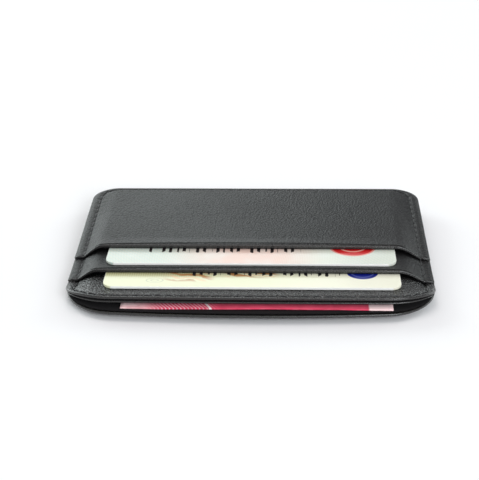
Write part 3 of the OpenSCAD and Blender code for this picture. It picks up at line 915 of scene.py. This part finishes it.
def note_mesh():
    """One sheet folded in half twice: four layers, nested round the front fold."""
    lo, hi = box_mm("banknote")
    thick, step = 0.1, 0.15
    z0 = lo[2] + 0.06
    yf, yr = lo[1] + 0.33, hi[1] - 0.15
    zs = [z0 + k * step for k in range(4)]
    run = 24
    path = [(y, zs[2]) for y in np.linspace(yr - 0.8, yf, run)]
    mid = (zs[1] + zs[2]) / 2
    path += arc(yf, mid, 0.5 * step, 90, 270, 9)
    path += [(y, zs[1]) for y in np.linspace(yf, yr, run)]
    low = (zs[0] + zs[1]) / 2
    path += arc(yr, low, 0.5 * step, 90, -90, 9)
    path += [(y, zs[0]) for y in np.linspace(yr, yf, run)]
    path += arc(yf, mid, 1.5 * step, 270, 90, 13)
    path += [(y, zs[3]) for y in np.linspace(yf, yr - 0.5, run)]
    P = np.array(path)
    tangent = np.gradient(P, axis=0)
    normal = np.stack([-tangent[:, 1], tangent[:, 0]], 1)
    normal /= np.linalg.norm(normal, axis=1, keepdims=True)
    ring = np.concatenate([P + normal * thick / 2, (P - normal * thick / 2)[::-1]])
    xs = np.linspace(lo[0] + 0.05, hi[0] - 0.05, 70)
    verts, faces, n = [], [], len(ring)
    for x in xs:
        wave = 0.05 * math.sin(0.11 * x + 0.7) + 0.03 * math.sin(0.31 * x)
        for y, z in ring:
            front_share = (yr - y) / (yr - yf)
            verts.append((x, y + 0.06 * math.sin(0.09 * x) * front_share, z + wave * front_share))
    for i in range(len(xs) - 1):
        a, b = [i * n + k for k in range(n)], [(i + 1) * n + k for k in range(n)]
        faces += [q[::-1] for q in strip(a, b)]
    half = n // 2
    last = (len(xs) - 1) * n
    for k in range(half - 1):
        faces.append((k, k + 1, n - 2 - k, n - 1 - k))
        faces.append((last + k, last + n - 1 - k, last + n - 2 - k, last + k + 1))
    ob = add_mesh("note_folded_paper", verts, faces, note_material())
    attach(ob, "banknote")
    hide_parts("banknote")
    return ob


note_mesh()


# ---------------------------------------------------------------- floor, light, camera
def floor_material():
    mat, nt, bsdf, obj, node, m, mix, ramp = node_tools(
        "floor_pale", (0.95, 0.94, 0.95), 0.85, Specular_IOR_Level=0.2,
    )
    cloud = node("ShaderNodeTexNoise", Vector=obj, Scale=5.0, Detail=3.0)
    tone = mix(cloud.outputs["Fac"], (0.95, 0.94, 0.95), (0.965, 0.96, 0.965))
    nt.links.new(tone, bsdf.inputs["Base Color"])
    return mat


FLOOR_HALF, FLOOR_Z = 3000.0, -0.05
floor = add_mesh("floor", [(-FLOOR_HALF, -FLOOR_HALF, FLOOR_Z), (FLOOR_HALF, -FLOOR_HALF, FLOOR_Z),
                           (FLOOR_HALF, FLOOR_HALF, FLOOR_Z), (-FLOOR_HALF, FLOOR_HALF, FLOOR_Z)],
                 [(0, 1, 2, 3)], floor_material(), smooth=False)


def area_light(name, where, at, size, power, color=(1, 1, 1)):
    data = bpy.data.lights.new(name, "AREA")
    data.shape = "RECTANGLE"
    data.size, data.size_y = size
    data.energy = power
    data.color = color
    ob = bpy.data.objects.new(name, data)
    ob.location = where
    ob.rotation_euler = (Vector(at) - Vector(where)).to_track_quat("-Z", "Y").to_euler()
    bpy.context.scene.collection.objects.link(ob)
    return ob


area_light("rear_wall", (-0.62, 0.95, 0.40), (0, 0, 0), (1.6, 0.8), 5.6, (0.92, 1.0, 0.99))
area_light("rear_left", (-1.0, 0.75, 0.5), (0, 0, 0), (0.7, 0.5), 3.6, (0.90, 1.0, 0.98))
area_light("rear_right", (1.0, 0.75, 0.5), (0, 0, 0), (0.7, 0.5), 3.4, (0.90, 1.0, 0.98))
area_light("top_softbox", (-0.1, 0.2, 1.0), (0, 0, 0), (0.6, 0.6), 2.2, (1.0, 0.93, 0.90))
area_light("front_fill", (0.45, -1.0, 0.55), (0, 0, 0), (0.6, 0.5), 9.0, (0.94, 0.97, 1.0))

world = bpy.data.worlds.new("studio")
world.use_nodes = True
world.node_tree.nodes["Background"].inputs[0].default_value = (0.955, 0.975, 1.0, 1)
world.node_tree.nodes["Background"].inputs[1].default_value = 0.44
scene = bpy.context.scene
scene.world = world
scene.view_settings.view_transform = "Standard"

FOCAL_PX, FRAME_PX = 1269.8, 480.0
CAM_AT = (11.0, -350.7, 175.3)
YAW, PITCH_DOWN, ROLL = math.radians(-2.43), math.radians(25.62), math.radians(-0.77)
level_run = math.cos(PITCH_DOWN)
fwd = Vector((math.sin(YAW) * level_run, math.cos(YAW) * level_run, -math.sin(PITCH_DOWN)))
right = Vector((math.cos(YAW), -math.sin(YAW), 0))
up = right.cross(fwd)
r2 = math.cos(ROLL) * right + math.sin(ROLL) * up
u2 = math.cos(ROLL) * up - math.sin(ROLL) * right
cam_data = bpy.data.cameras.new("camera")
cam_data.sensor_width = 36.0
cam_data.lens = FOCAL_PX / FRAME_PX * cam_data.sensor_width
cam_data.clip_start = 0.01
camera = bpy.data.objects.new("camera", cam_data)
turn = Matrix((r2, u2, -fwd)).transposed().to_4x4()
camera.matrix_world = Matrix.Translation(Vector(CAM_AT) * MM) @ turn
scene.collection.objects.link(camera)
scene.camera = camera
